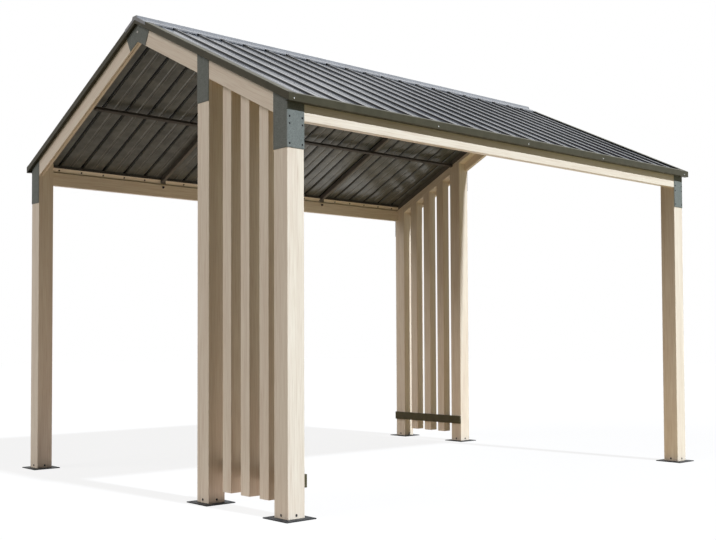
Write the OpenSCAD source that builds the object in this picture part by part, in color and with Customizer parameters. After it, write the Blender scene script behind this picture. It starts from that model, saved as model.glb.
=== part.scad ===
// Gabled garden gazebo: six square posts with printed wood grain, two gables, two slat screens
// and a ribbed metal roof. Origin on the floor under the middle of the ridge, ridge along X.

/* [Frame] */
// Outer faces of the corner posts, along the ridge
frame_l = 3937; // [3300:1:4600]
// Outer faces of the corner posts, across the ridge
frame_w = 2970; // [2600:1:3400]
// Side of the square posts
post_w = 114; // [100:1:130]
// Distance of the middle posts from the ridge line, to their axis
mid_post_y = 720; // [600:1:800]
// Underside of the eave beams above the floor
beam_z = 2089; // [1950:1:2300]
// Height of the eave beams
beam_h = 105; // [90:1:120]
// Thickness of the eave beams
beam_t = 40; // [30:1:50]
// Depth of the gable rafters, square to the slope
rafter_h = 110; // [90:1:130]
// Thickness of the gable rafters
rafter_t = 34; // [25:1:45]
// Depth of the beams behind the gable rafters, over the slat screens
gable_beam_h = 28; // [20:1:35]

/* [Slat screens] */
// Number of slats in each screen
slat_count = 3; // [2:1:4]
// Width of a slat
slat_w = 80; // [60:1:90]
// Lower ends of the slats above the floor
slat_z = 80; // [40:1:120]
// Depth of the head rail over the slats
head_h = 37; // [30:1:55]
// Lower edge of the flat rail that ties the slats
rail_z = 162; // [130:1:250]
// Height of the rail
rail_h = 70; // [50:1:90]
// Thickness of the rail
rail_t = 16; // [10:1:20]

/* [Base plates] */
// Side of the square base plates
plate_w = 200; // [180:1:240]
// Thickness of the base plates
plate_t = 6; // [5:1:12]
// Distance between the anchor holes
anchor_spacing = 160; // [150:1:170]
// Diameter of the anchor holes
anchor_d = 12; // [8:1:14]

/* [Brackets] */
// Thickness of the bracket plates
bracket_t = 3; // [2:0.5:5]
// How far the corner brackets reach below the eave beams
corner_drop = 149; // [100:1:200]
// How far the middle brackets reach below the rafters, at the post's eave side
mid_drop = 126; // [80:1:180]
// Length of each wing of the apex gussets along the slope
gusset_l = 155; // [120:1:220]

/* [Roof] */
// Slope of the roof
pitch = 26.5; // [22:0.5:30]
// Height of the rafters' upper faces above the eave beams, at the posts' outer face
eave_rise = 11; // [8:1:20]
// Height of the roof sheets above the rafters
seat_h = 18; // [8:1:25]
// Overhang of the roof past the gables
verge = 24; // [15:1:40]
// Overhang of the roof past the eave beams
eave = 44; // [30:1:70]
// Distance between the ribs of the roof sheets
rib_pitch = 186; // [150:1:250]
// Height of the ribs
rib_h = 11; // [8:1:25]
// Width of a rib along its top
rib_top = 20; // [15:1:30]
// Width of a rib at its foot
rib_foot = 50; // [40:1:60]
// Thickness of the roof sheets
sheet_t = 1.2; // [0.8:0.1:2]
// Half the width of the ridge cap, measured level
cap_w = 120; // [90:1:160]
// Thickness of the rake and eave trims
trim_t = 2; // [1.5:0.1:3]

/* [Roof steel] */
// Distance of the inner rafters from the middle
inner_x = 855; // [600:1:1000]
// Width of the inner rafters
inner_w = 30; // [20:1:40]
// Depth of the inner rafters
inner_h = 32; // [24:1:36]
// Distance of the purlins from the ridge line, down the slope to their middle
purlin_s = 853; // [790:1:910]
// Width of the purlins
purlin_w = 24; // [18:1:36]
// Depth of the purlins
purlin_h = 20; // [14:1:26]
// Width of the ridge beam
ridge_w = 40; // [30:1:50]
// Depth of the ridge beam
ridge_h = 60; // [50:1:80]

/* [Hidden] */
half_l = frame_l / 2;
half_w = frame_w / 2;
roof_x = half_l + verge;
roof_y = half_w + eave;
// Roof plane: upper faces of the gable rafters, at the ridge line
plane_z = beam_z + beam_h + eave_rise + half_w * tan(pitch);
rafter_v = rafter_h / cos(pitch);
rafter_x = half_l - rafter_t;
post_x = half_l - post_w;
post_y = half_w - post_w;
mid_out = mid_post_y + post_w / 2;
mid_in = mid_post_y - post_w / 2;
// Layers under the roof plane: upper and lower faces of the gable beams, tops of the slats,
// lower faces of the inner rafters and of the purlins that carry them
gable_beam_n = -20;
head_n = gable_beam_n - gable_beam_h;
slat_n = head_n - head_h;
inner_n = seat_h - inner_h;
purlin_n = inner_n - purlin_h;
// Groove between the eave beam and the sloped rail on top of it
groove_h = 6;
groove_d = 6;
// Tops of the ribs above the roof plane, where the trims and the ridge cap lie
rib_n = seat_h + rib_h;
// Trims: how far the rake trims hang below the roof plane, and the width of their flange
rake_drop = 8;
rake_flange = 60;
fascia_h = 42;
fascia_lip = 15;
fascia_flange = 22;
// Raised crown along the ridge cap, and the drop of its end plates
crown_w = 24;
crown_foot = 34;
crown_rise = 4;
cap_end_t = 1.5;
cap_end_drop = 20;
// Distance of the upper ends of the roof sheets from the ridge line, down the slope
ridge_gap = 2;
// Plates that seat the inner rafters on the rails of the eave beams
seat_plate_w = 46;
seat_plate_t = 3;

cream = [0.87, 0.81, 0.72];
dark = [0.27, 0.29, 0.27];
steel = [0.24, 0.24, 0.23];
sheet_grey = [0.42, 0.43, 0.45];

// Height of the roof plane at a distance y from the ridge line
function roof_z(y) = plane_z - abs(y) * tan(pitch);
// Height of a layer that lies n above the roof plane, measured square to it
function layer_z(y, n) = roof_z(y) + n / cos(pitch);
// Point of the front slope, s down the slope from the ridge and n above the roof plane
function slope_pt(s, n) = [-s * cos(pitch) - n * sin(pitch), plane_z - s * sin(pitch) + n * cos(pitch)];
// Strip that follows the slope from y1 to y2 with plumb ends, between the layers n1 and n2
function slope_strip(y1, y2, n1, n2) = [
    [y1, layer_z(y1, n1)], [y2, layer_z(y2, n1)], [y2, layer_z(y2, n2)], [y1, layer_z(y1, n2)]
];

// Outline in the YZ plane, carried along X from x by the length l
module along_x(x, l) {
    translate([x, 0, 0]) rotate([90, 0, 90]) linear_extrude(l) children();
}

module to_back(on) {
    mirror(on ? [0, 1, 0] : [0, 0, 0]) children();
}

module to_right(on) {
    mirror(on ? [1, 0, 0] : [0, 0, 0]) children();
}

// Half turn about the vertical axis: the middle posts and screens stand in opposite corners
module half_turn(on) {
    rotate([0, 0, on ? 180 : 0]) children();
}

// Upright that reaches from z to the layer n, where it is cut along the slope
module upright(x, w_x, y, w_y, z, n = 0) {
    along_x(x, w_x)
        polygon([[y, z], [y + w_y, z], [y + w_y, layer_z(y + w_y, n)], [y, layer_z(y, n)]]);
}

module post(x, y) {
    color(cream) upright(x - post_w / 2, post_w, y - post_w / 2, post_w, plate_t, gable_beam_n);
}

module base_plate(x, y) {
    color(steel) translate([x, y, 0]) difference() {
        translate([-plate_w / 2, -plate_w / 2, 0]) cube([plate_w, plate_w, plate_t]);
        for (sx = [-1, 1], sy = [-1, 1])
            translate([sx * anchor_spacing / 2, sy * anchor_spacing / 2, -1])
                cylinder(d = anchor_d, h = plate_t + 2, $fn = 32);
    }
}

// Angle plate that wraps the two outer faces of a corner post
module corner_bracket(right, back) {
    low = beam_z - corner_drop;
    color(dark) to_right(right) to_back(back) {
        upright(-half_l - bracket_t, bracket_t, -half_w - bracket_t, post_w + bracket_t, low);
        upright(-half_l - bracket_t, post_w + bracket_t, -half_w - bracket_t, bracket_t, low);
    }
}

module mid_bracket(right) {
    low = roof_z(mid_out) - rafter_v - mid_drop;
    color(dark) half_turn(right) upright(-half_l - bracket_t, bracket_t, -mid_out, post_w, low);
}

// Chevron plate over the mitre of the two rafters
module apex_gusset(right) {
    wing = [slope_pt(gusset_l, -rafter_h), slope_pt(gusset_l, 0)];
    color(dark) half_turn(right) along_x(-half_l - bracket_t, bracket_t) polygon(concat(
        [[0, plane_z - rafter_v]], wing, [[0, plane_z]],
        [[-wing[1][0], wing[1][1]], [-wing[0][0], wing[0][1]]]
    ));
}

// Length of gable rafter on the front slope, between two plumb cuts
module gable_rafter(y1, y2) {
    color(cream) along_x(-half_l, rafter_t) polygon(slope_strip(y1, y2, -rafter_h, 0));
}

// Length of the beam behind the rafter, on the half of the gable that has the screen
module gable_beam(y1, y2) {
    color(cream) along_x(-rafter_x, post_w - rafter_t) polygon(slope_strip(y1, y2, head_n, gable_beam_n));
}

module rafter_long(right) {
    half_turn(right) to_back(true) gable_rafter(-post_y, 0);
}

module rafter_upper(right) {
    half_turn(right) {
        gable_rafter(-mid_in, 0);
        gable_beam(-mid_in, 0);
    }
}

module rafter_lower(right) {
    half_turn(right) {
        gable_rafter(-post_y, -mid_out);
        gable_beam(-post_y, -mid_out);
    }
}

// Tube beam with a sloped rail on top that carries the sheets, and a groove between the two
module eave_beam(back) {
    y_out = -half_w;
    y_in = -half_w + beam_t;
    top = beam_z + beam_h;
    color(cream) to_back(back) along_x(-post_x, 2 * post_x) polygon([
        [y_out, beam_z], [y_in, beam_z], [y_in, top - groove_h], [y_in - groove_d, top - groove_h],
        [y_in - groove_d, top], [y_in, top], [y_in, layer_z(y_in, seat_h)], [y_out, layer_z(y_out, seat_h)]
    ]);
}

module ridge_beam() {
    side = ridge_w / 2;
    color(steel) along_x(-post_x, 2 * post_x) polygon([
        [-side, plane_z - ridge_h], [side, plane_z - ridge_h],
        [side, layer_z(side, seat_h)], [0, layer_z(0, seat_h)], [-side, layer_z(side, seat_h)]
    ]);
}

// Purlin from gable to gable, under the inner rafters
module purlin(back) {
    upper_s = purlin_s - purlin_w / 2;
    lower_s = purlin_s + purlin_w / 2;
    color(steel) to_back(back) along_x(-post_x, 2 * post_x) polygon([
        slope_pt(upper_s, purlin_n), slope_pt(lower_s, purlin_n),
        slope_pt(lower_s, inner_n), slope_pt(upper_s, inner_n)
    ]);
}

// Steel rafter between the purlins and the sheets, with the plate at its foot
module inner_rafter() {
    y_rail = -half_w + beam_t;
    y_plate = y_rail + seat_plate_t;
    along_x(-inner_w / 2, inner_w) polygon(slope_strip(y_rail, -ridge_w / 2, inner_n, seat_h));
    along_x(-seat_plate_w / 2, seat_plate_w) polygon([
        [y_rail, beam_z + beam_h], [y_plate, beam_z + beam_h],
        [y_plate, layer_z(y_plate, 0)], [y_rail, layer_z(y_rail, 0)]
    ]);
}

// Steel tube along a gable, behind the rafter and over the posts and the gable beams
module gable_tube() {
    along_x(-rafter_x, post_w - rafter_t) polygon(slope_strip(-half_w, 0, gable_beam_n, seat_h));
}

module inner_rafters() {
    color(steel) for (back = [false, true]) to_back(back) {
        for (x = [-inner_x, inner_x]) translate([x, 0, 0]) inner_rafter();
        for (right = [false, true]) to_right(right) gable_tube();
    }
}

function reversed(points) = [for (i = [len(points) - 1 : -1 : 0]) points[i]];

// Cross-section of a roof sheet: flat pans with a hollow rib at every pitch
module sheet_profile() {
    edge = roof_x - trim_t;
    count = floor((2 * edge - rib_foot) / rib_pitch) + 1;
    first = -(count - 1) / 2 * rib_pitch;
    ribs = [for (i = [0 : count - 1]) let (x = first + i * rib_pitch) each [
        [x - rib_foot / 2, sheet_t], [x - rib_top / 2, rib_h],
        [x + rib_top / 2, rib_h], [x + rib_foot / 2, sheet_t]
    ]];
    upper = concat([[-edge, sheet_t]], ribs, [[edge, sheet_t]]);
    polygon(concat(upper, [for (point = reversed(upper)) point - [0, sheet_t]]));
}

module roof_sheet(back) {
    low = (roof_y - trim_t - 1 - rib_n * sin(pitch)) / cos(pitch);
    color(sheet_grey) to_back(back) translate([0, 0, plane_z]) rotate([pitch, 0, 0])
        translate([0, -ridge_gap, seat_h]) rotate([90, 0, 0]) linear_extrude(low - ridge_gap) sheet_profile();
}

// Upper outline of the ridge cap, from the front edge to the back edge
function cap_outline(n) = [
    [-cap_w, layer_z(cap_w, n)], [-crown_foot, layer_z(crown_foot, n)],
    [-crown_w, layer_z(0, n) + crown_rise], [crown_w, layer_z(0, n) + crown_rise],
    [crown_foot, layer_z(crown_foot, n)], [cap_w, layer_z(cap_w, n)]
];

module ridge_cap() {
    upper = cap_outline(rib_n + sheet_t);
    end_low = [for (y = [cap_w, 0, -cap_w]) [y, layer_z(y, rib_n) - cap_end_drop]];
    color(dark) {
        along_x(-roof_x, 2 * roof_x) polygon(concat(upper, reversed(cap_outline(rib_n))));
        for (x = [-roof_x - cap_end_t, roof_x])
            along_x(x, cap_end_t) polygon(concat(upper, end_low));
    }
}

// Angle trim along the gable edge of a roof sheet: a face outside, a flange over the ribs
// and a seat strip between the sheet and the gable rafter
module rake_trim(right, back) {
    y_low = -roof_y + trim_t;
    color(dark) to_right(right) to_back(back) {
        along_x(-roof_x, trim_t) polygon(slope_strip(y_low, 0, -rake_drop, rib_n));
        along_x(-roof_x, rake_flange) polygon(slope_strip(y_low, -cap_w, rib_n, rib_n + trim_t));
        along_x(-half_l, rafter_t) polygon(slope_strip(-half_w, 0, 0, seat_h));
    }
}

// Trim along the eave: a face with a lip inwards at its foot and a flange over the rib ends
module fascia(back) {
    y_out = -roof_y;
    y_in = -roof_y + trim_t;
    low = layer_z(roof_y, rib_n + trim_t) - fascia_h;
    flange_x = roof_x - rake_flange;
    color(dark) to_back(back) {
        along_x(-roof_x, 2 * roof_x) polygon([
            [y_out, low], [y_out + fascia_lip, low], [y_out + fascia_lip, low + trim_t], [y_in, low + trim_t],
            [y_in, layer_z(y_in, rib_n)], [y_out, layer_z(y_out, rib_n)]
        ]);
        along_x(-flange_x, 2 * flange_x)
            polygon(slope_strip(y_out, y_out + fascia_flange, rib_n, rib_n + trim_t));
    }
}

// Slats flush with the inner faces of the posts, in equal gaps, under a head rail
module slat_screen(right) {
    depth = post_w - rafter_t;
    gap = (post_y - mid_out - slat_count * slat_w) / (slat_count + 1);
    color(cream) half_turn(right) {
        along_x(-rafter_x, depth) polygon(slope_strip(-post_y, -mid_out, slat_n, head_n));
        for (i = [0 : slat_count - 1])
            upright(-rafter_x, depth, -mid_out - (i + 1) * (gap + slat_w), slat_w, slat_z, slat_n);
    }
}

module slat_rail(right) {
    color(steel) half_turn(right)
        translate([-post_x, -half_w, rail_z]) cube([rail_t, half_w - mid_in, rail_h]);
}

axis_x = half_l - post_w / 2;
axis_y = half_w - post_w / 2;

post(-axis_x, -axis_y);  // post_front_left
post(axis_x, -axis_y);  // post_front_right
post(-axis_x, axis_y);  // post_back_left
post(axis_x, axis_y);  // post_back_right
post(-axis_x, -mid_post_y);  // post_mid_left
post(axis_x, mid_post_y);  // post_mid_right
base_plate(-axis_x, -axis_y);  // base_front_left
base_plate(axis_x, -axis_y);  // base_front_right
base_plate(-axis_x, axis_y);  // base_back_left
base_plate(axis_x, axis_y);  // base_back_right
base_plate(-axis_x, -mid_post_y);  // base_mid_left
base_plate(axis_x, mid_post_y);  // base_mid_right
corner_bracket(false, false);  // corner_bracket_front_left
corner_bracket(true, false);  // corner_bracket_front_right
corner_bracket(false, true);  // corner_bracket_back_left
corner_bracket(true, true);  // corner_bracket_back_right
mid_bracket(false);  // mid_bracket_left
mid_bracket(true);  // mid_bracket_right
apex_gusset(false);  // apex_gusset_left
apex_gusset(true);  // apex_gusset_right
rafter_long(false);  // rafter_left_long
rafter_upper(false);  // rafter_left_upper
rafter_lower(false);  // rafter_left_lower
rafter_long(true);  // rafter_right_long
rafter_upper(true);  // rafter_right_upper
rafter_lower(true);  // rafter_right_lower
eave_beam(false);  // eave_beam_front
eave_beam(true);  // eave_beam_back
ridge_beam();
purlin(false);  // purlin_front
purlin(true);  // purlin_back
inner_rafters();
roof_sheet(false);  // roof_front
roof_sheet(true);  // roof_back
ridge_cap();
rake_trim(false, false);  // rake_trim_left_front
rake_trim(false, true);  // rake_trim_left_back
rake_trim(true, false);  // rake_trim_right_front
rake_trim(true, true);  // rake_trim_right_back
fascia(false);  // fascia_front
fascia(true);  // fascia_back
slat_screen(false);  // slat_screen_left
slat_screen(true);  // slat_screen_right
slat_rail(false);  // slat_rail_left
slat_rail(true);  // slat_rail_right
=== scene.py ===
# Aluminium gazebo with printed wood grain, a ribbed metal roof and two slat screens.
from math import atan, cos, pi, radians, sin

import bpy
import numpy as np
from mathutils import Matrix, Vector


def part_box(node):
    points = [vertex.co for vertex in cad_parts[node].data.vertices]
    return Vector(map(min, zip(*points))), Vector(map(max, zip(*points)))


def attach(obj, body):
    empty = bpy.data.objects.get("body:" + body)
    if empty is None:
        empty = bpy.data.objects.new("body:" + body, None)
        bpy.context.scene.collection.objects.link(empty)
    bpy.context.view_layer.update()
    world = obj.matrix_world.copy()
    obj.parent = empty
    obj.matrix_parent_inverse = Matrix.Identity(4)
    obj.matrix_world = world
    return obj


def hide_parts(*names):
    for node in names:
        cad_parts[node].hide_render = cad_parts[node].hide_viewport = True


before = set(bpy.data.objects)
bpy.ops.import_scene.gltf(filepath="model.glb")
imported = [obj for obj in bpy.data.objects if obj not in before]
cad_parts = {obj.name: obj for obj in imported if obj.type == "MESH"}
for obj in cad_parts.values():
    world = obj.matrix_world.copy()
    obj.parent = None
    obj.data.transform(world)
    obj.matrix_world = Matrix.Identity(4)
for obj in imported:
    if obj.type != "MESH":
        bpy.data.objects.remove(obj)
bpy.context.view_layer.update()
print("frame loaded:", len(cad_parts), "nodes")


# Sizes taken from the frame, in metres. X runs along the ridge and +Y to the back
def corners(node):
    low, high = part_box(node)
    return np.array(low), np.array(high)


postLow, postHigh = corners("post_front_left")
midLow, midHigh = corners("post_mid_left")
trimLow, trimHigh = corners("rake_trim_left_front")
capLow, capHigh = corners("ridge_cap")
screenLow, screenHigh = corners("slat_screen_left")
railLow, railHigh = corners("slat_rail_left")
beamLow = corners("eave_beam_front")[0]
fasciaLow = corners("fascia_front")[0]
bracketLow = corners("corner_bracket_front_left")[0]
midPlateLow = corners("mid_bracket_left")[0]
gussetLow = corners("apex_gusset_left")[0]
upperLow = corners("rafter_left_upper")[0]
ridgeHigh = corners("ridge_beam")[1]
plateT = corners("base_front_left")[1][2]
planeZ = corners("rafter_left_long")[1][2]  # upper faces of the gable rafters, at the ridge

halfL, halfW = -postLow[0], -postLow[1]  # to the outer faces of the corner posts
postW = postHigh[0] - postLow[0]
postX, postY = halfL - postW, halfW - postW  # to their inner faces
axisX, axisY = halfL - postW / 2, halfW - postW / 2
midOut, midIn = -midLow[1], -midHigh[1]  # to the far and near faces of the middle posts
midY = (midOut + midIn) / 2
slope = (midHigh[2] - postHigh[2]) / (midHigh[1] - postHigh[1])
pitch = atan(slope)
sinP, cosP = sin(pitch), cos(pitch)
roofX, roofY = -trimLow[0], -fasciaLow[1]
rafterX = -screenLow[0]  # to the inner faces of the gable rafters
rafterT = halfL - rafterX
rafterH = (planeZ - midIn * slope - upperLow[2]) * cosP
bracketT = -halfL - bracketLow[0]

centre = np.zeros(3)
ridgeLine = np.array([0, 0, planeZ])
xAxis, yAxis, zAxis = np.eye(3)
slopeUp = np.array([0, -sinP, cosP])  # square to the front slope
slopeDown = np.array([0, -cosP, -sinP])  # down the front slope


def roofZ(y, n=0.0):
    # Height of the layer that lies n above the rafters' upper faces, square to the slope
    return planeZ - np.abs(y) * slope + n / cosP


def slopePoint(s, n):
    # Point (y, z) on the front slope, s down it from the ridge and n above the rafters
    return [-s * cosP - n * sinP, planeZ - s * sinP + n * cosP]


def roofPlane(side, n=0.0):
    # A point and the normal of that layer, on the front (-1) or back (1) slope
    return np.array([0, 0, planeZ + n / cosP]), np.array([0, side * sinP, cosP])


def plumb(axis, place):
    # A point and the normal of the plane square to an axis, 0 to 2, at a place along it
    point = np.zeros(3)
    point[axis] = place
    return point, np.eye(3)[axis]


# Layers n: undersides of the sheets, tops of the ribs, and below the rafters' upper faces the
# top and the foot of the beams behind the rafters
seatH = (ridgeHigh[2] - planeZ) * cosP
ribN = (trimHigh[2] - planeZ) * cosP
gableBeamN = (postHigh[2] - roofZ(postY)) * cosP
headN = (screenHigh[2] - roofZ(midOut)) * cosP


def unit(v):
    # Each row divided by its length, which is never taken as zero
    return v / np.maximum(np.linalg.norm(v, axis=-1, keepdims=True), 1e-12)


def rectangle(x0, x1, y0, y1):
    # Its four corners, anticlockwise
    return [[x0, y0], [x1, y0], [x1, y1], [x0, y1]]


def anticlockwise(outline):
    # The outline is turned round where its area, half the sum of x y' - x' y, is negative
    outline = np.asarray(outline, float)
    x, y = outline.T
    area = np.sum(x * np.roll(y, -1) - np.roll(x, -1) * y)
    return outline if area > 0 else outline[::-1]


def softened(points, cut, steps=3, most=0.45):
    # Every corner P of a closed outline becomes the parabola (1-t)^2 A + 2t(1-t) P + t^2 B,
    # with A and B on the two sides of P at the distance cut, or at most that share of a side
    points = np.asarray(points, float)
    before, after = np.roll(points, 1, 0) - points, np.roll(points, -1, 0) - points
    reach = np.broadcast_to(np.asarray(cut, float).reshape(-1, 1), (len(points), 1))

    def alongSide(v):
        # The step from P towards A or B
        return unit(v) * np.minimum(reach, most * np.linalg.norm(v, axis=1, keepdims=True))

    t = np.linspace(0, 1, steps + 1)[None, :, None]
    a, b = (points + alongSide(before))[:, None], (points + alongSide(after))[:, None]
    return ((1 - t) ** 2 * a + 2 * t * (1 - t) * points[:, None] + t ** 2 * b).reshape(-1, 2)


def bentPath(points, cut, steps=4):
    # The same for an open path, whose two ends stay sharp
    points = np.asarray(points, float)
    bends = softened(points, cut, steps).reshape(len(points), steps + 1, 2)[1:-1].reshape(-1, 2)
    return np.concatenate([points[:1], bends, points[-1:]])


def folded(points, thick, cut):
    # Closed outline of a folded plate: its middle line moved half a thickness to each side
    line = bentPath(points, cut)
    edge = unit(np.diff(line, axis=0))
    tangent = unit(np.concatenate([edge[:1], edge[:-1] + edge[1:], edge[-1:]]))
    bend = np.concatenate([[1.0], np.sum(tangent[1:-1] * edge[1:], axis=1), [1.0]])
    aside = np.stack([-tangent[:, 1], tangent[:, 0]], 1) * (thick / 2 / bend)[:, None]
    return anticlockwise(np.concatenate([line + aside, (line - aside)[::-1]]))


def inset(outline, depth):
    # Each point of an anticlockwise outline moved inwards along the mean of its edges' normals
    along = unit(np.roll(outline, -1, 0) - outline)
    mean = unit(along + np.roll(along, 1, 0))
    return outline + depth * np.stack([-mean[:, 1], mean[:, 0]], 1)


def wayRound(outline):
    # Length along a closed outline up to each point, and up to the first one again
    sides = np.linalg.norm(np.roll(outline, -1, 0) - outline, axis=1)
    return np.concatenate([[0], np.cumsum(sides)])


def ringMesh(rings, u, v, capUv):
    # Closed skin over rings of points (R, N, 3), with a flat cap on the first and the last ring.
    # u (R, N) and v (N + 1) are the grain coordinates along and round the piece, in metres
    count, size = rings.shape[:2]
    r, i = np.meshgrid(np.arange(count - 1), np.arange(size), indexing="ij")
    j = (i + 1) % size
    quads = np.stack([r * size + i, r * size + j, (r + 1) * size + j, (r + 1) * size + i], -1)
    uvQuads = np.stack([
        np.stack([u[r, i], v[i]], -1), np.stack([u[r, j], v[i + 1]], -1),
        np.stack([u[r + 1, j], v[i + 1]], -1), np.stack([u[r + 1, i], v[i]], -1)
    ], -2)
    ends = [np.arange(size)[::-1], (count - 1) * size + np.arange(size)]
    return {
        "points": rings.reshape(-1, 3), "quads": quads.reshape(-1, 4), "ends": ends,
        "uv": np.concatenate([uvQuads.reshape(-1, 2), capUv[::-1], capUv])
    }


grainDice = np.random.default_rng(11)  # where in the printed grain each member starts
grainReach = 40  # metres of the print to choose from


def carried(outline, origin, across, up, start, end, chamfer=0.0008):
    # An outline (p, q) set at origin + p across + q up and carried along across x up, from the
    # plane start to the plane end, each (point, normal). Both ends get a small chamfer
    along = np.cross(across, up)
    outline = anticlockwise(outline)

    def placed(line):
        return origin + line[:, :1] * across + line[:, 1:] * up

    def meet(base, plane):
        # How far along from each point of base the plane lies
        return (plane[0] - base) @ plane[1] / (along @ plane[1])

    full, small = placed(outline), placed(inset(outline, chamfer))
    runs = np.array([meet(small, start), meet(full, start) + chamfer,
                     meet(full, end) - chamfer, meet(small, end)])
    rings = np.stack([base + run[:, None] * along for base, run in zip([small, full, full, small], runs)])
    shift = grainDice.uniform(0, grainReach, 2)
    return ringMesh(rings, runs + shift[0], wayRound(outline) + shift[1], outline + shift)


def turned(part, x=1, y=1):
    # Mirrored in X and/or Y; one mirror alone turns the skin, so its loops are reversed
    part = dict(part, points=part["points"] * np.array([x, y, 1.0]))
    if x * y < 0:
        cut = len(part["quads"]) * 4
        uvQuads = part["uv"][:cut].reshape(-1, 4, 2)[:, ::-1].reshape(-1, 2)
        uvEnds = part["uv"][cut:].reshape(-1, len(part["ends"][0]), 2)[:, ::-1].reshape(-1, 2)
        part.update(quads=part["quads"][:, ::-1], ends=[end[::-1] for end in part["ends"]],
                    uv=np.concatenate([uvQuads, uvEnds]))
    return part


def makePiece(name, parts, material, nodes=(), smooth=None, second=None):
    # Joins the parts to one mesh with the UV map "grain", sets it riding and hides the frame's parts that
    # it replaces. Edges stay sharp from smooth degrees on; faces whose "which" is 1 take second
    starts = np.cumsum([0] + [len(part["points"]) for part in parts])
    faces = []
    for part, start in zip(parts, starts):
        faces += (part["quads"] + start).tolist() + [(end + start).tolist() for end in part["ends"]]
    mesh = bpy.data.meshes.new(name)
    mesh.from_pydata(np.concatenate([part["points"] for part in parts]), [], faces)
    layer = mesh.uv_layers.new(name="grain")
    layer.data.foreach_set("uv", np.concatenate([part["uv"] for part in parts]).ravel())
    if smooth:
        mesh.shade_smooth()
        mesh.set_sharp_from_angle(angle=radians(smooth))
    mesh.materials.append(material)
    if second:
        which = np.concatenate([part["which"] for part in parts])
        mesh.materials.append(second)
        mesh.polygons.foreach_set("material_index", which)
    mesh.validate()
    piece = bpy.data.objects.new(name, mesh)
    bpy.context.scene.collection.objects.link(piece)
    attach(piece, "root")
    if nodes:
        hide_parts(*nodes)


def paint(code):
    # sRGB hex to linear
    value = np.array([int(code[k:k + 2], 16) for k in (1, 3, 5)]) / 255
    linear = np.where(value <= 0.04045, value / 12.92, ((value + 0.055) / 1.055) ** 2.4)
    return (*linear.tolist(), 1.0)


def addNode(tree, kind, inputs=None, stops=None, **settings):
    # An input takes a value, a socket, or a node, which stands for its first output. Stops are
    # the places and colours of a ramp
    node = tree.nodes.new("ShaderNode" + kind)
    for name, value in settings.items():
        setattr(node, name, value)
    for name, value in (inputs or {}).items():
        if isinstance(value, bpy.types.Node):
            value = value.outputs[0]
        if isinstance(value, bpy.types.NodeSocket):
            tree.links.new(value, node.inputs[name])
        else:
            node.inputs[name].default_value = value
    if stops:
        elements = node.color_ramp.elements
        while len(elements) < len(stops):
            elements.new(0.5)
        for element, (place, colour) in zip(elements, stops):
            element.position = place
            element.color = paint(colour)
    return node


def newMaterial(name):
    material = bpy.data.materials.new(name)
    material.use_nodes = True
    tree = material.node_tree
    return material, tree, tree.nodes["Principled BSDF"]


noiseSpread = (0.35, 0.65)  # a noise stays mostly between these, so a ramp's two tones stand here

# Aluminium profile with a heat-transferred oak print under satin lacquer: pale streaks along
# the member, with slow changes from board to board and hardly any relief. Sizes are in metres
grainPrint = {
    "streaks": [(0.30, "#ccb9a2"), (0.50, "#e5dac8"), (0.72, "#f1e8d8")],
    "streakLength": 0.22, "streakWidth": 0.006,  # real pores are under 1 mm wide, drawn coarser
    "boards": ("#decfbe", "#f1e8d8"), "boardLength": 1.1, "boardWidth": 0.05, "boardShare": 0.45,
    "roughness": 0.42, "bump": 0.12, "relief": 0.0006,
}


def printedOak():
    g = grainPrint
    material, tree, shader = newMaterial("printedOakAluminium")
    grain = addNode(tree, "UVMap", uv_map="grain")
    streakScale = (1 / g["streakLength"], 1 / g["streakWidth"], 1)
    fine = addNode(tree, "TexNoise", {
        "Vector": addNode(tree, "Mapping", {"Vector": grain, "Scale": streakScale}),
        "Scale": 1.0, "Detail": 3.0, "Roughness": 0.6, "Distortion": 0.3})
    boardScale = (1 / g["boardLength"], 1 / g["boardWidth"], 1)
    broad = addNode(tree, "TexNoise", {
        "Vector": addNode(tree, "Mapping", {"Vector": grain, "Scale": boardScale}),
        "Scale": 1.0, "Detail": 2.0, "Roughness": 0.5, "Distortion": 0.6})
    streaks = addNode(tree, "ValToRGB", {"Fac": fine}, g["streaks"])
    boards = addNode(tree, "ValToRGB", {"Fac": broad}, list(zip(noiseSpread, g["boards"])))
    mixed = addNode(tree, "Mix", {0: g["boardShare"], 6: streaks, 7: boards}, data_type="RGBA")
    bump = addNode(tree, "Bump", {"Height": fine, "Strength": g["bump"], "Distance": g["relief"]})
    tree.links.new(mixed.outputs[2], shader.inputs["Base Color"])
    tree.links.new(bump.outputs[0], shader.inputs["Normal"])
    shader.inputs["Roughness"].default_value = g["roughness"]
    return material


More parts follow.
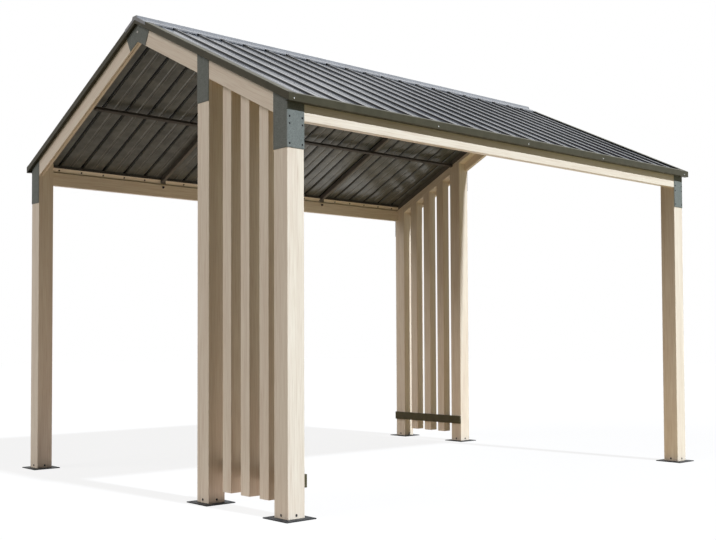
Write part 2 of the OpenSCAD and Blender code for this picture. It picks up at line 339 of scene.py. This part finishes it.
# Powder coat, sprayed dry on folded steel and baked: an even satin colour with faint clouds
# and orange peel, whose bumps are really about 1 mm wide and drawn coarser. Sizes in metres
coatBase = {
    "roughness": 0.5, "gloss": 0.2, "cloud": 0.06, "speck": 0.004, "speckShare": 0.35,
    "bump": 0.15, "relief": 0.0004,
}
coatRows = {
    # Folded trims: dark olive brown with a soft shine
    "trim": {"name": "darkTrimPowderCoat", "tones": ("#403e31", "#4b483a"),
             "roughness": 0.4, "gloss": 0.14},
    # Brackets: a coarse textured coat, which looks mottled and dull
    "bracket": {"name": "mottledBracketPowderCoat", "tones": ("#6a706d", "#7f8481"),
                "roughness": 0.55, "gloss": 0.1, "cloud": 0.03, "speck": 0.005,
                "speckShare": 0.7, "relief": 0.0012},
    # Ridge beam and purlins: dark warm grey
    "tube": {"name": "darkTubePowderCoat", "tones": ("#3f3b37", "#4a4540")},
    # Inner rafters: the same coat painted paler, which is painted light on their shaded sides
    "inner": {"name": "innerRafterPaintedLightCoat", "tones": ("#625f5b", "#6d6a65")},
    # Ridge cap: coil-coated sheet, rolled smooth and glossy, so it takes the sky's light
    "cap": {"name": "ridgeCapCoilCoat", "tones": ("#74767a", "#828488"),
            "roughness": 0.22, "gloss": 0.5, "cloud": 0.09, "speck": 0.005,
            "speckShare": 0.25, "relief": 0.0002},
    # Base plates: nearly black
    "plate": {"name": "basePlatePowderCoat", "tones": ("#232528", "#33363a")},
    # Slat rails: olive brown
    "slatRail": {"name": "slatRailPowderCoat", "tones": ("#4a4633", "#56513d")},
    # Strips under the sheets, dark to stand in for the shadow gap over the rails: painted shade, matt
    # with fine pores
    "gapShade": {"name": "paintedGapShade", "tones": ("#333230", "#403f3c"),
             "roughness": 0.8, "cloud": 0.02, "speck": 0.003},
    # Screws of blackened steel: dark points with a small highlight
    "darkScrew": {"name": "blackenedScrewSteel", "tones": ("#1d1d1f", "#29292b"),
                  "roughness": 0.4, "cloud": 0.01, "speck": 0.003},
    # Zinc-plated screws: pale, bright points
    "zincScrew": {"name": "zincScrewSteel", "tones": ("#cfd0ce", "#e6e6e4"),
                  "roughness": 0.3, "gloss": 0.5, "cloud": 0.01, "speck": 0.003},
}


def powderCoat(row):
    c = {**coatBase, **row}
    material, tree, shader = newMaterial(c["name"])
    place = addNode(tree, "TexCoord").outputs["Object"]
    cloudPlace = addNode(tree, "Mapping", {"Vector": place, "Scale": (1 / c["cloud"],) * 3})
    cloud = addNode(tree, "TexNoise", {"Vector": cloudPlace, "Scale": 1.0, "Detail": 3.0})
    speckPlace = addNode(tree, "Mapping", {"Vector": place, "Scale": (1 / c["speck"],) * 3})
    specks = addNode(tree, "TexNoise", {"Vector": speckPlace, "Scale": 1.0, "Detail": 1.0})
    blend = addNode(tree, "Mix", {0: c["speckShare"], 2: cloud, 3: specks})
    colour = addNode(tree, "ValToRGB", {"Fac": blend}, list(zip(noiseSpread, c["tones"])))
    bump = addNode(tree, "Bump", {"Height": specks, "Strength": c["bump"], "Distance": c["relief"]})
    tree.links.new(colour.outputs[0], shader.inputs["Base Color"])
    tree.links.new(bump.outputs[0], shader.inputs["Normal"])
    shader.inputs["Roughness"].default_value = c["roughness"]
    shader.inputs["Specular IOR Level"].default_value = c["gloss"]
    return material


# Coil coating, rolled on the flat strip before the sheets are formed: dull ribs between glossy
# slate pans that mirror the sky at a low angle. The ribs are painted near black on top and in the
# channels beneath, which is painted shade. The back coat is thinner and satin. A paler line at
# both edges of each pan's bead is a painted highlight, strongest on the back. Sizes are in metres
coilBase = {"cloud": 0.09, "fade": 0.002, "creaseAt": 0.012, "creaseHalf": 0.0012, "panGloss": 0.5}
coilRows = {
    # rib: near-black colour over the ribs, painted shade; beadHighlight: paler colour at the bead's
    # edges, painted highlight
    "top": {"name": "slateCoilCoat", "rib": "#0e1012", "pan": ("#4f5257", "#5c5f66"),
            "beadHighlight": "#5c5f66", "ribHalf": 0.016, "roughness": 0.12, "ribGloss": 0.2},
    "back": {"name": "coilBackCoat", "rib": "#161718", "pan": ("#4b4e4c", "#5e625f"),
             "beadHighlight": "#7b7d7a", "ribHalf": 0.009, "roughness": 0.24, "ribGloss": 0.12},
}


def coilCoat(row, ribPitch):
    c = {**coilBase, **row}
    material, tree, shader = newMaterial(c["name"])
    place = addNode(tree, "TexCoord").outputs["Object"]
    cloudPlace = addNode(tree, "Mapping", {"Vector": place, "Scale": (1 / c["cloud"],) * 3})
    cloud = addNode(tree, "TexNoise", {"Vector": cloudPlace, "Scale": 1.0, "Detail": 3.0})
    pan = addNode(tree, "ValToRGB", {"Fac": cloud}, list(zip(noiseSpread, c["pan"])))
    # The distance from the nearest pan's middle swings from 0 up to half a pitch at the ribs
    alongRidge = addNode(tree, "SeparateXYZ", {0: place})
    away = addNode(tree, "Math", {0: alongRidge, 1: ribPitch / 2}, operation="PINGPONG")
    # The band over each rib takes the near-black colour: painted shade
    edge = ribPitch / 2 - c["ribHalf"]
    onRib = addNode(tree, "MapRange", {0: away, 1: edge - c["fade"], 2: edge})
    # A thin line at each edge of the bead takes the paler colour: painted highlight
    onCrease = addNode(tree, "Math", {0: away, 1: c["creaseAt"], 2: c["creaseHalf"]},
                       operation="COMPARE")
    beadLit = addNode(tree, "Mix", {0: onCrease, 6: pan, 7: paint(c["beadHighlight"])}, data_type="RGBA")
    colour = addNode(tree, "Mix", {0: onRib, 6: beadLit.outputs[2], 7: paint(c["rib"])},
                     data_type="RGBA")
    gloss = addNode(tree, "MapRange", {0: onRib, 3: c["panGloss"], 4: c["ribGloss"]})
    shader.inputs["Roughness"].default_value = c["roughness"]
    shader.inputs["Specular IOR Level"].default_value = c["panGloss"]  # where the link is dropped
    tree.links.new(gloss.outputs[0], shader.inputs["Specular IOR Level"])
    tree.links.new(colour.outputs[2], shader.inputs["Base Color"])
    return material


oak = printedOak()
coats = {key: powderCoat(row) for key, row in coatRows.items()}
print("materials made")

# Posts, cut to the slope at the top
postShape = {"corner": 0.004}
postOutline = softened(rectangle(-postW / 2, postW / 2, -postW / 2, postW / 2), postShape["corner"])
posts = {
    "front_left": (-axisX, -axisY), "front_right": (axisX, -axisY),
    "back_left": (-axisX, axisY), "back_right": (axisX, axisY),
    "mid_left": (-axisX, -midY), "mid_right": (axisX, midY),
}
for place, (x, y) in posts.items():
    post = carried(postOutline, np.array([x, y, 0.0]), xAxis, yAxis,
                   plumb(2, plateT), roofPlane(1 if y > 0 else -1, gableBeamN))
    makePiece("oakPost_" + place, [post], oak, ["post_" + place])

# Gable rafters: boards with a groove under them near the outer face, and a beam behind the
# boards of the screened half. Outlines are (into the gazebo, n)
rafterShape = {
    "corner": 0.003, "grooveFrom": 0.010, "grooveWide": 0.005, "grooveDeep": 0.005,
    "grooveCorner": 0.001, "beamCorner": 0.0025,
}


def boardOutline():
    # A rectangle with the groove cut into its foot
    s = rafterShape
    near, far = s["grooveFrom"], s["grooveFrom"] + s["grooveWide"]
    foot, top = -rafterH, -rafterH + s["grooveDeep"]
    points = [[0, foot], [near, foot], [near, top], [far, top], [far, foot],
              [rafterT, foot], [rafterT, 0], [0, 0]]
    return softened(points, [s["corner"]] + [s["grooveCorner"]] * 4 + [s["corner"]] * 3)


def gableStrip(outline, yHigh, yLow):
    # On the front slope at the left gable, from yHigh down to yLow
    return carried(outline, np.array([-halfL, 0, planeZ]), xAxis, slopeUp,
                   plumb(1, -yHigh), plumb(1, -yLow))


rafterOutline = boardOutline()
gableBeamOutline = softened(rectangle(rafterT, postW, headN, gableBeamN), rafterShape["beamCorner"])
rafterSpans = {
    # name: distance of both ends from the ridge, outlines, -1 where the left one is at the back
    "long": (0, postY, [rafterOutline], -1),
    "upper": (0, midIn, [rafterOutline, gableBeamOutline], 1),
    "lower": (midOut, postY, [rafterOutline, gableBeamOutline], 1),
}
for name, (yHigh, yLow, outlines, flip) in rafterSpans.items():
    for side, way in (("left", 1), ("right", -1)):
        parts = [turned(gableStrip(line, yHigh, yLow), way, way * flip) for line in outlines]
        makePiece(f"oakRafter_{side}_{name}", parts, oak, [f"rafter_{side}_{name}"])

# Eave beams: a tube with a sloped rail on top and a deep groove between the two. A dark strip
# between the rail and the sheets stands in for the shadow gap there: painted shade. Outlines are (y, z)
beamShape = {
    "height": 0.105, "thick": 0.040, "groove": 0.007, "grooveDeep": 0.030, "railN": -0.001,
    "corner": 0.003, "lipCorner": 0.0015, "grooveCorner": 0.001, "railCorner": 0.002,
    "stripGap": 0.002,  # under the sheets, whose pans are a little uneven
}


def beamOutline(railOut, railIn):
    # The tube up to the groove, round the groove, and the rail with its top on the slope
    b = beamShape
    top, foot = beamLow[2] + b["height"], beamLow[2]
    inner, grooveEnd, grooveLow = -beamIn, -beamIn - b["grooveDeep"], top - b["groove"]
    railLean = (railIn[1] - top) * slope  # the rail's inner face stands square to the slope
    points = [[-halfW, foot], [inner, foot], [inner, grooveLow], [grooveEnd, grooveLow],
              [grooveEnd, top], [inner - railLean, top], railIn, railOut]
    return softened(points, [
        b["corner"], b["corner"], b["lipCorner"], b["grooveCorner"], b["grooveCorner"],
        b["lipCorner"], b["railCorner"], b["railCorner"]])


beamIn = halfW - beamShape["thick"]
railOut = [-halfW, roofZ(halfW, beamShape["railN"])]
railIn = [-beamIn, roofZ(beamIn, beamShape["railN"])]
stripN = seatH - beamShape["stripGap"]
stripOutline = [railOut, railIn, [-beamIn, roofZ(beamIn, stripN)], [-halfW, roofZ(halfW, stripN)]]
eaveOutline = beamOutline(railOut, railIn)
for side, way in (("front", 1), ("back", -1)):
    beam = carried(eaveOutline, centre, yAxis, zAxis, plumb(0, -postX), plumb(0, postX))
    makePiece("oakEaveBeam_" + side, [turned(beam, way, way)], oak,
              ["eave_beam_" + side])
    strip = carried(stripOutline, centre, yAxis, zAxis, plumb(0, -postX), plumb(0, postX))
    makePiece("gapShadeStrip_" + side, [turned(strip, way, way)], coats["gapShade"])

# Slat screens: slats with equal gaps under a head rail, and the flat rail that ties them
slatShape = {"count": 3, "corner": 0.003, "headRail": 0.037, "headGap": 0.0005, "railCorner": 0.003}
slatW = screenHigh[0] - screenLow[0]
slatX = (screenLow[0] + screenHigh[0]) / 2
slatGap = (postY - midOut - slatShape["count"] * slatW) / (slatShape["count"] + 1)
slatYs = [-midOut - (k + 0.5) * slatW - (k + 1) * slatGap for k in range(slatShape["count"])]
slatN = headN - slatShape["headRail"]
slatOutline = softened(rectangle(-slatW / 2, slatW / 2, -slatW / 2, slatW / 2), slatShape["corner"])
headOutline = softened(rectangle(rafterT, postW, slatN, headN - slatShape["headGap"]),
                       slatShape["corner"])
railOutline = softened(rectangle(0, railHigh[0] - railLow[0], 0, railHigh[2] - railLow[2]),
                       slatShape["railCorner"])
for side, way in (("left", 1), ("right", -1)):
    slats = [carried(slatOutline, np.array([slatX, y, 0.0]), xAxis, yAxis,
                     plumb(2, screenLow[2]), roofPlane(-1, slatN)) for y in slatYs]
    slats.append(gableStrip(headOutline, midOut, postY))
    makePiece("oakSlats_" + side, [turned(slat, way, way) for slat in slats], oak,
              ["slat_screen_" + side])
    rail = carried(railOutline[:, ::-1], np.array([railLow[0], 0, railLow[2]]), zAxis, xAxis,
                   plumb(1, railLow[1]), plumb(1, railHigh[1]))
    makePiece("slatRail_" + side, [turned(rail, way, way)], coats["slatRail"],
              ["slat_rail_" + side])
print("frame made")

# Brackets: folded angles round the corner posts, plates on the middle posts, and chevron
# gussets over the mitres at the apexes
bracketShape = {"bend": 0.005, "edge": 0.001, "gussetCorner": 0.003}
angleX, angleY = -halfL - bracketT / 2, -halfW - bracketT / 2
angleOutline = folded([[angleX, -postY], [angleX, angleY], [-postX, angleY]], bracketT,
                      bracketShape["bend"])
for place, flips in (("front_left", (1, 1)), ("front_right", (-1, 1)),
                     ("back_left", (1, -1)), ("back_right", (-1, -1))):
    angle = carried(angleOutline, centre, xAxis, yAxis, plumb(2, bracketLow[2]), roofPlane(-1))
    makePiece("cornerBracket_" + place, [turned(angle, *flips)], coats["bracket"],
              ["corner_bracket_" + place])
midOutline = softened(rectangle(-halfL - bracketT, -halfL, -midOut, -midOut + postW),
                      bracketShape["edge"])
gussetReach = -gussetLow[1] / cosP
wingTop, wingFoot = slopePoint(gussetReach, 0), slopePoint(gussetReach, -rafterH)
gussetOutline = softened(anticlockwise([
    [0, planeZ - rafterH / cosP], wingFoot, wingTop, [0, planeZ],
    [-wingTop[0], wingTop[1]], [-wingFoot[0], wingFoot[1]]]), bracketShape["gussetCorner"])
for side, way in (("left", 1), ("right", -1)):
    plate = carried(midOutline, centre, xAxis, yAxis, plumb(2, midPlateLow[2]), roofPlane(-1))
    makePiece("midBracket_" + side, [turned(plate, way, way)], coats["bracket"],
              ["mid_bracket_" + side])
    gusset = carried(gussetOutline, centre, yAxis, zAxis,
                     plumb(0, -halfL - bracketT), plumb(0, -halfL))
    makePiece("apexGusset_" + side, [turned(gusset, way, way)], coats["bracket"],
              ["apex_gusset_" + side])

# The base plates and the steel under the roof keep their solids and get their coats
keptNodes = {"base_" + place: "plate" for place in posts}
# The inner rafters take the coat painted paler: painted light
keptNodes.update(ridge_beam="tube", purlin_front="tube", purlin_back="tube", inner_rafters="inner")
for name, key in keptNodes.items():
    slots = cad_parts[name].data.materials
    slots.clear()
    slots.append(coats[key])

# Roof sheets: hat ribs, and flat pans with a low bead in their middle. The gaps are to the
# roof's side, the ridge, the eave and the ribs' tops in the frame
sheetShape = {
    "ribs": 22, "ribPitch": 0.186, "ribTop": 0.023, "ribFoot": 0.030,
    "beadWide": 0.024, "beadHigh": 0.0025, "thick": 0.0008, "bend": 0.002,
    "sideGap": 0.003, "ridgeGap": 0.002, "eaveGap": 0.006, "topGap": 0.0005,
    "unevenness": 0.0008, "waves": [(3.1, 4.3), (9.7, -6.1), (17.0, 11.0)],
    "rings": 24, "seeds": {"front": 3, "back": 4}, "smooth": 25,
}
ribXs = (np.arange(sheetShape["ribs"]) - (sheetShape["ribs"] - 1) / 2) * sheetShape["ribPitch"]
panXs = (ribXs[1:] + ribXs[:-1]) / 2


def sheetLine():
    # Upper outline (x, n) of a sheet from side to side, as a path with rounded bends
    s = sheetShape
    low, top, edge = seatH + s["thick"], ribN - s["topGap"], roofX - s["sideGap"]
    rib = np.array([[-s["ribFoot"] / 2, low], [-s["ribTop"] / 2, top],
                    [s["ribTop"] / 2, top], [s["ribFoot"] / 2, low]])
    bead = np.array([[-s["beadWide"] / 2, low], [-s["beadWide"] / 4, low + s["beadHigh"]],
                     [s["beadWide"] / 4, low + s["beadHigh"]], [s["beadWide"] / 2, low]])
    raised = [rib + [ribXs[0], 0]]
    for panX, ribX in zip(panXs, ribXs[1:]):
        raised += [bead + [panX, 0], rib + [ribX, 0]]
    return bentPath(np.concatenate([[[-edge, low]], *raised, [[edge, low]]]), s["bend"], steps=3)


def roofSheet(seed):
    # The outline carried down the front slope by t. Its pans are slightly uneven: n gains the
    # sum of A / k sin(ax + bt + phase) over the waves k = 1, 2, 3, which fades out up the ribs
    s = sheetShape
    line = sheetLine()
    outline = np.concatenate([line[::-1], line - [0, s["thick"]]])  # anticlockwise in (x, n)
    t = np.linspace(s["ridgeGap"], (roofY - s["eaveGap"] - ribN * sinP) / cosP, s["rings"])
    phase = np.random.default_rng(seed).uniform(0, 2 * pi, len(s["waves"]))
    x, n = outline.T
    wave = sum(np.sin(x[None] * a + t[:, None] * b + phase[k]) / (k + 1)
               for k, (a, b) in enumerate(s["waves"]))
    flat = np.clip((ribN - n) / (ribN - seatH), 0, 1)
    n = n[None] + s["unevenness"] * wave * flat[None]
    rings = x[None, :, None] * xAxis + n[..., None] * slopeUp + t[:, None, None] * slopeDown + ridgeLine
    sheet = ringMesh(rings, np.broadcast_to(t[:, None], rings.shape[:2]), wayRound(outline), outline)
    back = (np.arange(len(outline)) >= len(line)).astype(np.int32)
    sheet["which"] = np.concatenate([np.tile(back, s["rings"] - 1), [0, 0]]).astype(np.int32)
    return sheet


topCoat = coilCoat(coilRows["top"], sheetShape["ribPitch"])
backCoat = coilCoat(coilRows["back"], sheetShape["ribPitch"])
for side, way in (("front", 1), ("back", -1)):
    sheet = roofSheet(sheetShape["seeds"][side])
    makePiece("roofSheet_" + side, [turned(sheet, way, way)], topCoat,
              ["roof_" + side], smooth=sheetShape["smooth"], second=backCoat)

# Ridge cap: a folded sheet with a raised crown, closed by a plate at each gable. Its edges are
# turned down between the ribs, to a few millimetres over the pans. Outlines are (y, z)
capShape = {
    "crown": 0.024, "crownFoot": 0.034, "rise": 0.0026, "lift": 0.0012, "thick": 0.0012,
    "bend": 0.004, "endDrop": 0.020, "hemGap": 0.005, "hemSide": 0.004,
    "edge": 0.0003, "thinEdge": 0.0002,
}


def ridgeCap():
    # The folded sheet, its two end plates and a hem over each pan on both sides
    c = capShape
    width, capN = capHigh[1], ribN + c["lift"] + c["thick"] / 2
    crownZ = roofZ(0, capN) + c["rise"]
    path = [
        [-width, roofZ(width, capN)], [-c["crownFoot"], roofZ(c["crownFoot"], capN)],
        [-c["crown"], crownZ], [c["crown"], crownZ],
        [c["crownFoot"], roofZ(c["crownFoot"], capN)], [width, roofZ(width, capN)]]
    cap = carried(folded(path, c["thick"], c["bend"]), centre, yAxis, zAxis,
                  plumb(0, -roofX), plumb(0, roofX), c["edge"])
    hem = rectangle(-width - c["thick"] / 2, -width + c["thick"] / 2,
                    roofZ(width, seatH + c["hemGap"]), roofZ(width, capN))
    reach = (sheetShape["ribPitch"] - sheetShape["ribFoot"]) / 2 - c["hemSide"]
    hems = []
    for x in panXs:
        for way in (-1, 1):
            part = carried(hem, centre, yAxis, zAxis, plumb(0, x - reach), plumb(0, x + reach),
                           c["thinEdge"])
            hems.append(turned(part, 1, way))
    endLine = path + [[y, roofZ(y, ribN) - c["endDrop"]] for y in (width, 0, -width)]
    ends = [carried(endLine, centre, yAxis, zAxis, plumb(0, low), plumb(0, high), c["thinEdge"])
            for low, high in ((capLow[0], -roofX), (roofX, capHigh[0]))]
    return [cap, *ends, *hems]


makePiece("ridgeCap", ridgeCap(), coats["cap"], ["ridge_cap"])

# Trims folded from thin sheet. Along the rakes: a flange over the ribs, a face that hangs a
# little below the rafters' tops and a return to the gable. Under the sheets' edge lies a seat
# strip. Outlines are (x, n)
trimShape = {
    "thick": 0.001, "bend": 0.0025, "flange": 0.060, "drop": 0.008, "edge": 0.0003,
    "gableGap": 0.001, "ridgeGap": 0.0002, "eaveGap": 0.002, "seatFoot": 0.0005, "seatGap": 0.002,
}
rakeX = -roofX + trimShape["thick"] / 2
flangeN = ribN + trimShape["thick"] / 2
rakePath = [[-roofX + trimShape["flange"], flangeN], [rakeX, flangeN], [rakeX, -trimShape["drop"]],
            [-halfL - trimShape["gableGap"], -trimShape["drop"]]]
rakeOutline = folded(rakePath, trimShape["thick"], trimShape["bend"])
seatOutline = rectangle(-halfL, -rafterX, trimShape["seatFoot"], seatH - trimShape["seatGap"])
rakeParts = ((rakeOutline, roofY - trimShape["eaveGap"]), (seatOutline, halfW))
for side, fx in (("left", 1), ("right", -1)):
    for end, fy in (("front", 1), ("back", -1)):
        parts = [carried(outline, ridgeLine, xAxis, slopeUp, plumb(1, -trimShape["ridgeGap"]),
                         plumb(1, -foot), trimShape["edge"]) for outline, foot in rakeParts]
        makePiece(f"rakeTrim_{side}_{end}", [turned(part, fx, fy) for part in parts],
                  coats["trim"], [f"rake_trim_{side}_{end}"])

# Along the eaves: a lip at the foot, a face and a flange over the ribs' ends. Outlines are (y, z)
fasciaShape = {"face": 0.0025, "lip": 0.030, "flange": 0.022}
faceY = -roofY + fasciaShape["face"]
flangeY = faceY + fasciaShape["flange"]
lipZ = fasciaLow[2] + trimShape["thick"] / 2
fasciaPath = [[faceY + fasciaShape["lip"], lipZ], [faceY, lipZ], [faceY, roofZ(faceY, flangeN)],
              [flangeY, roofZ(flangeY, flangeN)]]
fasciaOutline = folded(fasciaPath, trimShape["thick"], trimShape["bend"])
for side, way in (("front", 1), ("back", -1)):
    part = carried(fasciaOutline, centre, yAxis, zAxis, plumb(0, -roofX), plumb(0, roofX),
                   trimShape["edge"])
    makePiece("fascia_" + side, [turned(part, way, way)], coats["trim"],
              ["fascia_" + side])
print("roof made")

# Button heads of the screws and bolts: two rings for the rim, then one at each angle in degrees
headShape = {"angles": (30, 55, 78), "sunk": 0.0005, "rim": 0.0004, "smooth": 50}


def heads(places, normal, row):
    # Rings at the angles a of a quarter circle, radius cos a wide and rise sin a high, on a
    # short straight rim that starts a little under the surface
    normal = unit(np.asarray(normal, float))
    first = unit(np.cross(normal, [0.3, 0.5, 0.8]))  # square to the normal, which is never that way
    second = np.cross(normal, first)
    angle = np.radians([0, 0, *headShape["angles"]])
    wide = row["radius"] * np.cos(angle)
    high = np.array([-headShape["sunk"], headShape["rim"], *(row["rise"] * np.sin(angle[2:]))])
    turn = np.linspace(0, 2 * pi, row["sides"], endpoint=False)[:, None]
    circle = np.cos(turn) * first + np.sin(turn) * second
    shape = wide[:, None, None] * circle + high[:, None, None] * normal
    u = np.broadcast_to(high[:, None], shape.shape[:2])
    v = np.linspace(0, 2 * pi * row["radius"], row["sides"] + 1)
    capUv = circle[:, :2] * row["radius"]
    return [ringMesh(shape + np.asarray(place, float), u, v, capUv) for place in places]


# Two columns of three on the front and back faces of the corner brackets
bracketScrews = {
    "aside": 0.044, "heights": (2.104, 2.066, 1.962), "radius": 0.0055, "rise": 0.004, "sides": 14}
parts = []
for fx in (-1, 1):
    for fy in (-1, 1):
        places = [(fx * (axisX + aside), fy * (halfW + bracketT), z)
                  for aside in (-bracketScrews["aside"], bracketScrews["aside"])
                  for z in bracketScrews["heights"]]
        parts += heads(places, (0, fy, 0), bracketScrews)
makePiece("bracketScrews", parts, coats["darkScrew"], smooth=headShape["smooth"])

# One in each face of a post, just over its base plate
footScrews = {"z": 0.024, "radius": 0.0075, "rise": 0.003, "sides": 14}
parts = []
for x, y in posts.values():
    for nx, ny in ((1, 0), (-1, 0), (0, 1), (0, -1)):
        place = (x + nx * postW / 2, y + ny * postW / 2, footScrews["z"])
        parts += heads([place], (nx, ny, 0), footScrews)
makePiece("footScrews", parts, coats["darkScrew"], smooth=headShape["smooth"])

# Pale ones along the fascias and one in the middle of each gusset
fasciaScrews = {
    "x": (-1.956, -0.846, 0.011, 0.851, 1.937), "z": 2.190, "radius": 0.004, "rise": 0.002, "sides": 14}
gussetScrews = {"z": 2.885, "radius": 0.008, "rise": 0.005, "sides": 14}
frontY = faceY - trimShape["thick"] / 2
parts = []
for way in (1, -1):
    places = [(way * x, way * frontY, fasciaScrews["z"]) for x in fasciaScrews["x"]]
    parts += heads(places, (0, -way, 0), fasciaScrews)
for way in (-1, 1):
    parts += heads([(way * (halfL + bracketT), 0, gussetScrews["z"])], (way, 0, 0), gussetScrews)
makePiece("zincScrews", parts, coats["zincScrew"], smooth=headShape["smooth"])

# Screws that hold the sheets' ribs on the rails, and a bolt under each inner rafter
railScrews = {"z": 2.208, "radius": 0.007, "rise": 0.005, "sides": 8, "endGap": 0.02}
seatBolts = {"x": 0.855, "z": 2.166, "radius": 0.010, "rise": 0.018, "sides": 14}
railY = beamIn + (railIn[1] - railScrews["z"]) * slope
screwXs = [x for x in ribXs if abs(x) < postX - railScrews["endGap"]]
parts = []
for way in (-1, 1):
    places = [(x, way * railY, railScrews["z"]) for x in screwXs]
    parts += heads(places, (0, -way * cosP, -sinP), railScrews)
for way in (-1, 1):
    places = [(x, way * beamIn, seatBolts["z"]) for x in (-seatBolts["x"], seatBolts["x"])]
    parts += heads(places, (0, -way, 0), seatBolts)
makePiece("railScrews", parts, coats["darkScrew"], smooth=headShape["smooth"])
print("screws made")

# Pale floor: white to the eye. The light that it throws back on the object is warm and strong
# under the roof, most of all on the left, and around it dim on the left and brighter on the right
white = (1.0, 1.0, 1.0, 1.0)
floorShape = {"reach": 30.0}
floorTones = {
    "under": [(0.0, "#dcae90"), (1.0, "#c6a36c")],  # from the left to the right
    "around": [(0.0, "#5a523c"), (1.0, "#a3986e")],
    "left": -1.5, "right": 1.5, "leftGlow": 0.45,
    "underTo": 0.90, "aroundFrom": 1.08,  # as shares of half the posts' footprint
    "shown": "#626262", "shownGlow": 0.86, "mirrored": "#f4eee4", "mirroredGlow": 0.12,
}


def paleFloor():
    f = floorTones
    material, tree, shader = newMaterial("paleFloor")
    tree.nodes.remove(shader)
    place = addNode(tree, "TexCoord").outputs["Object"]
    # How far out a point lies: the greater of |x| and |y| over half the posts' footprint
    share = addNode(tree, "VectorMath", {0: place, 1: (1 / halfL, 1 / halfW, 0)}, operation="MULTIPLY")
    share = addNode(tree, "VectorMath", {0: share}, operation="ABSOLUTE")
    share = addNode(tree, "SeparateXYZ", {0: share})
    away = addNode(tree, "Math", {0: share.outputs["X"], 1: share.outputs["Y"]}, operation="MAXIMUM")
    outside = addNode(tree, "MapRange", {0: away, 1: f["underTo"], 2: f["aroundFrom"]})
    alongRidge = addNode(tree, "SeparateXYZ", {0: place})
    across = addNode(tree, "MapRange", {0: alongRidge, 1: f["left"], 2: f["right"]})
    under = addNode(tree, "ValToRGB", {"Fac": across}, f["under"])
    around = addNode(tree, "ValToRGB", {"Fac": across}, f["around"])
    tone = addNode(tree, "Mix", {0: outside, 6: under, 7: around}, data_type="RGBA")
    # The glow fades out from under the roof to the outside, and from the left to the right
    glow = addNode(tree, "MapRange", {0: outside, 3: f["leftGlow"], 4: 0.0})
    glow = addNode(tree, "MapRange", {0: across, 3: glow, 4: 0.0})
    thrown = addNode(tree, "AddShader", {
        0: addNode(tree, "BsdfDiffuse", {"Color": tone.outputs[2]}),
        1: addNode(tree, "Emission", {"Color": white, "Strength": glow})})
    shown = addNode(tree, "AddShader", {
        0: addNode(tree, "BsdfDiffuse", {"Color": paint(f["shown"])}),
        1: addNode(tree, "Emission", {"Color": white, "Strength": f["shownGlow"]})})
    mirrored = addNode(tree, "AddShader", {
        0: addNode(tree, "BsdfDiffuse", {"Color": paint(f["mirrored"])}),
        1: addNode(tree, "Emission", {"Color": white, "Strength": f["mirroredGlow"]})})
    rays = addNode(tree, "LightPath")
    both = addNode(tree, "MixShader", {0: rays.outputs["Is Glossy Ray"], 1: thrown, 2: mirrored})
    both = addNode(tree, "MixShader", {0: rays.outputs["Is Camera Ray"], 1: both, 2: shown})
    tree.links.new(both.outputs[0], tree.nodes["Material Output"].inputs["Surface"])
    return material


reach = floorShape["reach"]
floorCorners = [(x, y, 0) for x, y in rectangle(-reach, reach, -reach, reach)]
floorMesh = bpy.data.meshes.new("floor")
floorMesh.from_pydata(floorCorners, [], [(0, 1, 2, 3)])
floorMesh.materials.append(paleFloor())
floor = bpy.data.objects.new("floor", floorMesh)
bpy.context.scene.collection.objects.link(floor)

# The sky is white to the eye and in mirrors and glass, and lights the object only faintly
skyLight = {"strength": 0.06, "tint": "#fff4e6"}


def paleSky():
    world = bpy.data.worlds.new("paleSky")
    world.use_nodes = True
    tree = world.node_tree
    tree.nodes.clear()
    rays = addNode(tree, "LightPath")
    seen = addNode(tree, "Math", {0: rays.outputs["Is Camera Ray"], 1: rays.outputs["Is Glossy Ray"]},
                   operation="MAXIMUM")
    seen = addNode(tree, "Math", {0: seen, 1: rays.outputs["Is Transmission Ray"]}, operation="MAXIMUM")
    faint = addNode(tree, "Background", {
        "Color": paint(skyLight["tint"]), "Strength": skyLight["strength"]})
    bright = addNode(tree, "Background", {"Color": white, "Strength": 1.0})  # 1 shows as white
    both = addNode(tree, "MixShader", {0: seen, 1: faint, 2: bright})
    addNode(tree, "OutputWorld", {"Surface": both})
    return world


bpy.context.scene.world = paleSky()

lampRows = {
    # name: strength, spread in degrees, colour, direction towards the lamp
    "sun": (4.6, 2.5, "#eff6ff", (0.066, -0.716, 0.695)),
    "sideFill": (1.48, 44, "#fff7f4", (-0.85, 0.13, 0.585)),
}
for name, (strength, spread, colour, towards) in lampRows.items():
    lamp = bpy.data.lights.new(name, "SUN")
    lamp.energy = strength
    lamp.angle = radians(spread)
    lamp.color = paint(colour)[:3]
    light = bpy.data.objects.new(name, lamp)
    light.rotation_euler = Vector(towards).to_track_quat("Z", "Y").to_euler()
    light.visible_glossy = False  # no hard glint of the lamps on the coated sheets
    bpy.context.scene.collection.objects.link(light)

# Angles in degrees: the yaw from +X round to +Y, the tilt upwards
cameraShape = {
    "place": (-5.3635, -5.6040, 0.9380), "yaw": 49.32705, "tilt": 1.909346, "roll": -0.143205,
    "sensor": 36, "lens": 51.7845, "shift": (0.068731, 0.048596), "clipEnd": 200,
}


def addCamera():
    c = cameraShape
    yaw, tilt, roll = (radians(c[name]) for name in ("yaw", "tilt", "roll"))
    ahead = Vector((cos(yaw) * cos(tilt), sin(yaw) * cos(tilt), sin(tilt)))
    level = Vector((sin(yaw), -cos(yaw), 0))
    right = level * cos(roll) + level.cross(ahead) * sin(roll)
    turn = Matrix((right, right.cross(ahead), -ahead)).transposed().to_4x4()
    turn.translation = c["place"]
    lens = bpy.data.cameras.new("camera")
    lens.sensor_width = c["sensor"]
    lens.lens = c["lens"]
    lens.shift_x, lens.shift_y = c["shift"]
    lens.clip_end = c["clipEnd"]
    camera = bpy.data.objects.new("camera", lens)
    camera.matrix_world = turn
    bpy.context.scene.collection.objects.link(camera)
    return camera


bpy.context.scene.camera = addCamera()
bpy.context.scene.view_settings.view_transform = "Standard"
print("floor, sky, lamps and camera set")
